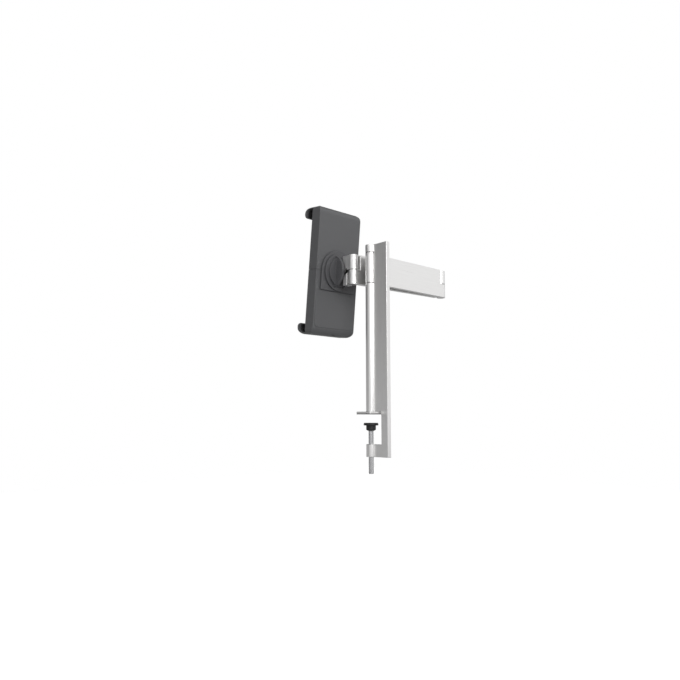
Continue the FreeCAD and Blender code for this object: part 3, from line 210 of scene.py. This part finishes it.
low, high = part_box("clamp_spindle")
crest, root, pitch, columns = 0.004, 0.00345, 0.00125, 32
foot_gap, level = 0.00005, 1e-5
thread_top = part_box("pressure_foot")[0].z - foot_gap
turns = math.ceil((thread_top - low.z) / pitch) + 2
spindle = bmesh.new()
start = low.z - pitch
thread_profile = ((0, crest), (0.34, crest), (0.6, root), (0.74, root), (1, crest))
ridge = [spindle.verts.new((radius, 0, start + share * pitch)) for share, radius in thread_profile]
for lower, upper in zip(ridge, ridge[1:]):
    spindle.edges.new((lower, upper))
bmesh.ops.spin(
    spindle,
    geom=spindle.verts[:] + spindle.edges[:],
    cent=(0, 0, 0),
    axis=(0, 0, 1),
    dvec=(0, 0, pitch / columns),
    angle=2 * math.pi,
    steps=columns,
)
stack(spindle, turns, pitch)
for height, outward in ((low.z, -1), (thread_top, 1)):
    bmesh.ops.bisect_plane(
        spindle,
        geom=spindle.verts[:] + spindle.edges[:] + spindle.faces[:],
        plane_co=(0, 0, height),
        plane_no=(0, 0, outward),
        clear_outer=True,
    )
chamfer = 0.0008
for vertex in spindle.verts:
    limit = crest - chamfer + vertex.co.z - low.z
    radius = vertex.co.xy.length
    if radius > limit:
        vertex.co.xy *= limit / radius
socket_corner, socket_depth = 0.0029, 0.005
bottom = [e for e in spindle.edges if e.is_boundary and e.verts[0].co.z < low.z + level]
mouth = bmesh.ops.create_circle(spindle, segments=6, radius=socket_corner)["verts"]
bmesh.ops.translate(spindle, vec=(0, 0, low.z), verts=mouth)
mouth_edges = list({e for v in mouth for e in v.link_edges})
bmesh.ops.bridge_loops(spindle, edges=bottom + mouth_edges)
socket = bmesh.ops.extrude_edge_only(spindle, edges=mouth_edges)["geom"]
deep_verts = only(bmesh.types.BMVert, socket)
bmesh.ops.translate(spindle, vec=(0, 0, socket_depth), verts=deep_verts)
bmesh.ops.contextual_create(spindle, geom=only(bmesh.types.BMEdge, socket))
journal = 0.00275
top = [e for e in spindle.edges if e.is_boundary and e.verts[0].co.z > thread_top - level]
for height in (thread_top, high.z):
    neck = bmesh.ops.extrude_edge_only(spindle, edges=top)["geom"]
    top = only(bmesh.types.BMEdge, neck)
    for vertex in {v for e in top for v in e.verts}:
        vertex.co.xy *= journal / vertex.co.xy.length
        vertex.co.z = height
bmesh.ops.contextual_create(spindle, geom=top)
bmesh.ops.recalc_face_normals(spindle, faces=spindle.faces[:])
add_piece("threaded_spindle", spindle, steel, "spindle", stands_for="clamp_spindle")

# Turntable hub and back plate: charcoal moulded nylon, finely sparked, with the tilt bolt
# and its nut sunk in the two ears and capped in the same colour.
hub_colour = (0.084, 0.084, 0.089)
hub_plastic = finish("hub_plastic", hub_colour, metallic=0.0, rough=0.38, scale=1800, bump=0.12)
coat(hub_plastic, "tilt_hub", "tilt_bolt", "tilt_nut", "back_plate", "carrier_plate")
break_edges(0.0004, "tilt_hub", "back_plate")
break_edges(0.0003, "carrier_plate")

# Holder halves: charcoal ABS shells, each with its hook, closed at the front by a screwed
# cover. The moulds are finely textured.
shell_colour = (0.099, 0.1, 0.104)
shell_plastic = finish("shell_plastic", shell_colour, metallic=0.0, rough=0.42, scale=1800, bump=0.2)
coat(shell_plastic, "upper_shell", "lower_shell", "upper_cover", "lower_cover")
break_edges(0.0003, "upper_shell", "lower_shell", "upper_cover", "lower_cover")

# Racks and pinion: the halves' racks are black acetal, and the pinion between them natural
# nylon, so that both halves open by the same amount.
coat(acetal, "upper_rack", "lower_rack")
coat(finish("natural_nylon", (0.8, 0.79, 0.76), metallic=0.0, rough=0.5), "pinion")

# Tension springs: close wound steel wire, one for each half, hooked over a peg at each end.
# One coil of wire is spun along the spring, and straight ends run to the pegs.
joints = {joint["name"]: joint for joint in frame["record"]["behaviour"]["joints"]}
turning_axis = joints["holder_rotation"]["axis"]
lean = Matrix.Rotation(math.atan2(turning_axis[2], turning_axis[1]), 4, "X")
leaning = Matrix.Translation(joints["holder_tilt"]["pos_m"]) @ lean


def holder_piece(name, shape, material, body, stands_for=None):
    """Add a piece that is drawn upright, with its origin on the tilt bolt's axis."""
    bmesh.ops.recalc_face_normals(shape, faces=shape.faces[:])
    shape.transform(leaning)
    add_piece(name, shape, material, body, stands_for)


def add_bar(shape, sides, radius, length, place):
    """A bar of many sides, drawn upright round its middle and then put in its place."""
    bar = bmesh.ops.create_cone(
        shape, cap_ends=True, segments=sides, radius1=radius, radius2=radius, depth=length
    )["verts"]
    bmesh.ops.transform(shape, matrix=place, verts=bar)


quarter = math.radians(90)
wire, wire_sides, coil_radius, coil_rise, coil_steps = 0.00045, 6, 0.0019, 0.00105, 14
spring_depth = -0.0233
for name, across, coil_low, coil_high, first, last in (
    ("upper_spring", -0.020, 0.008, 0.068, -0.0064, 0.0824),
    ("lower_spring", -0.033, -0.068, -0.008, -0.0824, 0.0064),
):
    middle = Vector((across, spring_depth, 0))
    shape = bmesh.new()
    ring = bmesh.ops.create_circle(shape, segments=wire_sides, radius=wire)["verts"]
    upright = Matrix.Translation(middle + Vector((coil_radius, 0, coil_low + wire)))
    bmesh.ops.transform(shape, matrix=upright @ Matrix.Rotation(quarter, 4, "X"), verts=ring)
    wound = coil_high - coil_low - 2 * wire
    coils = round(wound / coil_rise)
    bmesh.ops.spin(
        shape,
        geom=shape.verts[:] + shape.edges[:],
        cent=middle,
        axis=(0, 0, 1),
        dvec=(0, 0, wound / coils / coil_steps),
        angle=2 * math.pi,
        steps=coil_steps,
    )
    stack(shape, coils, wound / coils)
    bmesh.ops.holes_fill(shape, edges=[e for e in shape.edges if e.is_boundary])
    for end_low, end_high, spoke_height in (
        (first, coil_low + 2 * wire, coil_low + wire),
        (coil_high - 2 * wire, last, coil_high - wire),
    ):
        leg = Matrix.Translation(middle + Vector((0, 0, (end_low + end_high) / 2)))
        add_bar(shape, wire_sides, wire, end_high - end_low, leg)
        beside = Matrix.Translation(middle + Vector((coil_radius / 2, 0, spoke_height)))
        add_bar(shape, wire_sides, wire, coil_radius, beside @ Matrix.Rotation(quarter, 4, "Y"))
    for face in shape.faces:
        face.smooth = len(face.verts) == 4
    holder_piece(name + "_coil", shape, steel, "carrier", stands_for=name)

# Ear caps: a round one over the tilt bolt's head and a six-sided one over its nut, pressed
# into the ears' recesses until they are flush, in the hub's own plastic.
cap_middle, cap_depth, head_radius, nut_corner = 0.01185, 0.0004, 0.00455, 0.0055
shape = bmesh.new()
for sides, radius, across in ((48, head_radius, cap_middle), (6, nut_corner, -cap_middle)):
    lying = Matrix.Translation((across, 0, 0)) @ Matrix.Rotation(quarter, 4, "Y")
    add_bar(shape, sides, radius, cap_depth, lying)
holder_piece("ear_caps", shape, hub_plastic, "turntable")

# Blanking plug: a small black oval in the rounding of the lower end, flush with the shell.
# It is pressed in square to the rounding.
plug_half_length, plug_half_width, plug_depth, plug_proud = 0.004, 0.0008, 0.002, 0.00008
holder_back, holder_half, end_round = -0.015, 0.102, 0.012
slant, plug_across = math.radians(34), -0.004
shape = bmesh.new()
outward = Vector((0, math.sin(slant), -math.cos(slant)))
round_centre = Vector((plug_across, holder_back - end_round, end_round - holder_half))
seat = Matrix.Translation(round_centre + (end_round + plug_proud - plug_depth / 2) * outward)
turn = Matrix.Rotation(math.pi + slant, 4, "X")
oval = Matrix.Diagonal((plug_half_length, plug_half_width, 1, 1))
add_bar(shape, 32, 1, plug_depth, seat @ turn @ oval)
holder_piece("end_plug", shape, acetal, "lower_bracket")

# Rubber in the hooks: a ribbed lining bonded inside each hook, which follows its rounding
# from the front cover to the end of the lip. The ribs run across the holder.


def add_ribs(shape, base, rise, along):
    """Thicken a sheet of faces away from their normals, and raise every second strip of it."""
    thick = bmesh.ops.solidify(shape, geom=shape.faces[:], thickness=base)["geom"]
    strips = only(bmesh.types.BMFace, thick)
    strips.sort(key=lambda strip: strip.calc_center_median().dot(along))
    bmesh.ops.inset_individual(shape, faces=strips[::2], thickness=rise / 4, depth=rise)


pad_half, lining, lining_rise, strip_width = 0.040, 0.0014, 0.0005, 0.0008
inside, arc, hook_end, lip_end, pad_start = -0.0485, 0.008, 0.099, 0.0859, -0.034
bend_centre = Vector((0, inside + arc, hook_end - arc))
for side, which in ((1, "upper"), (-1, "lower")):
    shape = bmesh.new()
    lip = shape.verts.new((-pad_half, inside, lip_end))
    bend = shape.verts.new((-pad_half, inside, hook_end - arc))
    straight = [shape.edges.new((lip, bend))]
    turned = bmesh.ops.spin(
        shape,
        geom=[bend],
        cent=bend_centre,
        axis=(1, 0, 0),
        angle=-quarter,
        steps=round(quarter * arc / strip_width),
    )["geom_last"]
    flat_end = shape.verts.new((-pad_half, pad_start, hook_end))
    straight.append(shape.edges.new((turned[0], flat_end)))
    for edge in straight:
        cuts = round(edge.calc_length() / strip_width) - 1
        bmesh.ops.subdivide_edges(shape, edges=[edge], cuts=cuts)
    sheet = bmesh.ops.extrude_edge_only(shape, edges=shape.edges[:])["geom"]
    far = only(bmesh.types.BMVert, sheet)
    bmesh.ops.translate(shape, vec=(2 * pad_half, 0, 0), verts=far)
    bmesh.ops.recalc_face_normals(shape, faces=shape.faces[:])
    shape.normal_update()
    if sum((bend_centre - f.calc_center_median()).dot(f.normal) for f in shape.faces) > 0:
        bmesh.ops.reverse_faces(shape, faces=shape.faces[:])
    add_ribs(shape, lining - lining_rise, lining_rise, Vector((0, 1, 1)))
    bmesh.ops.scale(shape, vec=(1, 1, side), verts=shape.verts[:])
    holder_piece(which + "_hook_lining", shape, rubber, which + "_bracket", which + "_hook_pad")

# Rubber on the front: a ribbed strip bonded to each cover, where the tablet's back rests.
# Its ribs run the same way as those in the hooks.
strip_low, strip_high, strip_count, strip_base, strip_rise = 0.014, 0.080, 61, 0.0006, 0.0004
for side, which in ((1, "upper"), (-1, "lower")):
    shape = bmesh.new()
    grid = bmesh.ops.create_grid(shape, x_segments=1, y_segments=strip_count, size=0.5)["verts"]
    facing = Matrix.Rotation(-quarter, 4, "X")
    spread = Matrix.Diagonal((2 * pad_half, strip_high - strip_low, 1, 1))
    centre = Matrix.Translation((0, pad_start, (strip_low + strip_high) / 2))
    bmesh.ops.transform(shape, matrix=centre @ facing @ spread, verts=grid)
    shape.normal_update()
    add_ribs(shape, strip_base, strip_rise, Vector((0, 0, 1)))
    bmesh.ops.scale(shape, vec=(1, 1, side), verts=shape.verts[:])
    holder_piece(which + "_front_strip", shape, rubber, which + "_bracket", which + "_grip_pad")

# Camera: almost level with the clamp plate, behind the post and to one side, looking
# slightly up.
photo_pixels, focal_pixels, horizon_pixels, film = 680, 650, 76.4, 36
eye = bpy.data.cameras.new("camera")
camera = bpy.data.objects.new("camera", eye)
scene.collection.objects.link(camera)
camera.location = (0.7, 0.69, -0.003)
upward = math.atan(horizon_pixels / focal_pixels)
camera.rotation_euler = (quarter + upward, 0, math.radians(137.3))
eye.sensor_width = film
eye.lens = film * focal_pixels / photo_pixels
scene.camera = camera

# Floor: plain and pale, well below the clamp. Its own glow is only for the camera.
floor_level, floor_half, floor_tone, floor_glow = -0.72, 6, 0.6, 0.75
floor_mesh = bpy.data.meshes.new("floor")
floor_shape = bmesh.new()
bmesh.ops.create_grid(floor_shape, x_segments=1, y_segments=1, size=floor_half)
bmesh.ops.translate(floor_shape, vec=(0, 0, floor_level), verts=floor_shape.verts[:])
floor_shape.to_mesh(floor_mesh)
floor_shape.free()
floor = bpy.data.objects.new("floor", floor_mesh)
scene.collection.objects.link(floor)
pale = bpy.data.materials.new("pale")
pale.use_nodes = True
paint = pale.node_tree.nodes["Principled BSDF"]
paint.inputs["Base Color"].default_value = (floor_tone, floor_tone, floor_tone, 1)
paint.inputs["Roughness"].default_value = 0.9
paint.inputs["Emission Color"].default_value = (1, 1, 1, 1)
glance = pale.node_tree.nodes.new("ShaderNodeLightPath")
lift = pale.node_tree.nodes.new("ShaderNodeMath")
lift.operation = "MULTIPLY"
lift.inputs[1].default_value = floor_glow
pale.node_tree.links.new(glance.outputs["Is Camera Ray"], lift.inputs[0])
pale.node_tree.links.new(lift.outputs["Value"], paint.inputs["Emission Strength"])
floor_mesh.materials.append(pale)

# Surround: the camera sees white. The object sees a bright side behind the post, a dim one
# in front of it and a paler band low down, which gives the metal its light and dark faces.
world = bpy.data.worlds.new("surround")
scene.world = world
world.use_nodes = True
air = world.node_tree
ambient = air.nodes["Background"]
ambient.inputs["Color"].default_value = (1, 1, 1, 1)
compass = air.nodes.new("ShaderNodeTexCoord")
split = air.nodes.new("ShaderNodeSeparateXYZ")
air.links.new(compass.outputs["Generated"], split.inputs["Vector"])
brighter = air.nodes.new("ShaderNodeMath")
brighter.operation = "MAXIMUM"
dim, behind, low_down = 0.17, 0.92, 0.5
for n, (axis, start, end, most) in enumerate((("Y", -0.25, 0.3, behind), ("Z", 0.3, -0.1, low_down))):
    ramp = air.nodes.new("ShaderNodeMapRange")
    ramp.interpolation_type = "SMOOTHSTEP"
    ramp.inputs["From Min"].default_value = start
    ramp.inputs["From Max"].default_value = end
    ramp.inputs["To Min"].default_value = dim
    ramp.inputs["To Max"].default_value = most
    air.links.new(split.outputs[axis], ramp.inputs["Value"])
    air.links.new(ramp.outputs["Result"], brighter.inputs[n])
air.links.new(brighter.outputs["Value"], ambient.inputs["Strength"])
white = air.nodes.new("ShaderNodeBackground")
white.inputs["Color"].default_value = (1, 1, 1, 1)
white.inputs["Strength"].default_value = 1.0
seen = air.nodes.new("ShaderNodeLightPath")
either = air.nodes.new("ShaderNodeMixShader")
air.links.new(seen.outputs["Is Camera Ray"], either.inputs["Fac"])
air.links.new(ambient.outputs["Background"], either.inputs[1])
air.links.new(white.outputs["Background"], either.inputs[2])
air.links.new(either.outputs["Shader"], air.nodes["World Output"].inputs["Surface"])

# Lamps: a soft key behind the post and a weak one from the right for the edges. Both are
# square and look at the middle of the object.
aim = Vector((0, 0, 0.12))
for name, place, size, power in (
    ("key", (0.55, 1.35, 0.6), 0.7, 7),
    ("side", (1.3, -0.3, 0.9), 0.4, 1.2),
):
    lamp = bpy.data.lights.new(name, "AREA")
    lamp.size = size
    lamp.energy = power
    lamp_object = bpy.data.objects.new(name, lamp)
    scene.collection.objects.link(lamp_object)
    lamp_object.location = place
    lamp_object.rotation_euler = (aim - Vector(place)).to_track_quat("-Z", "Y").to_euler()

scene.view_settings.view_transform = "Standard"
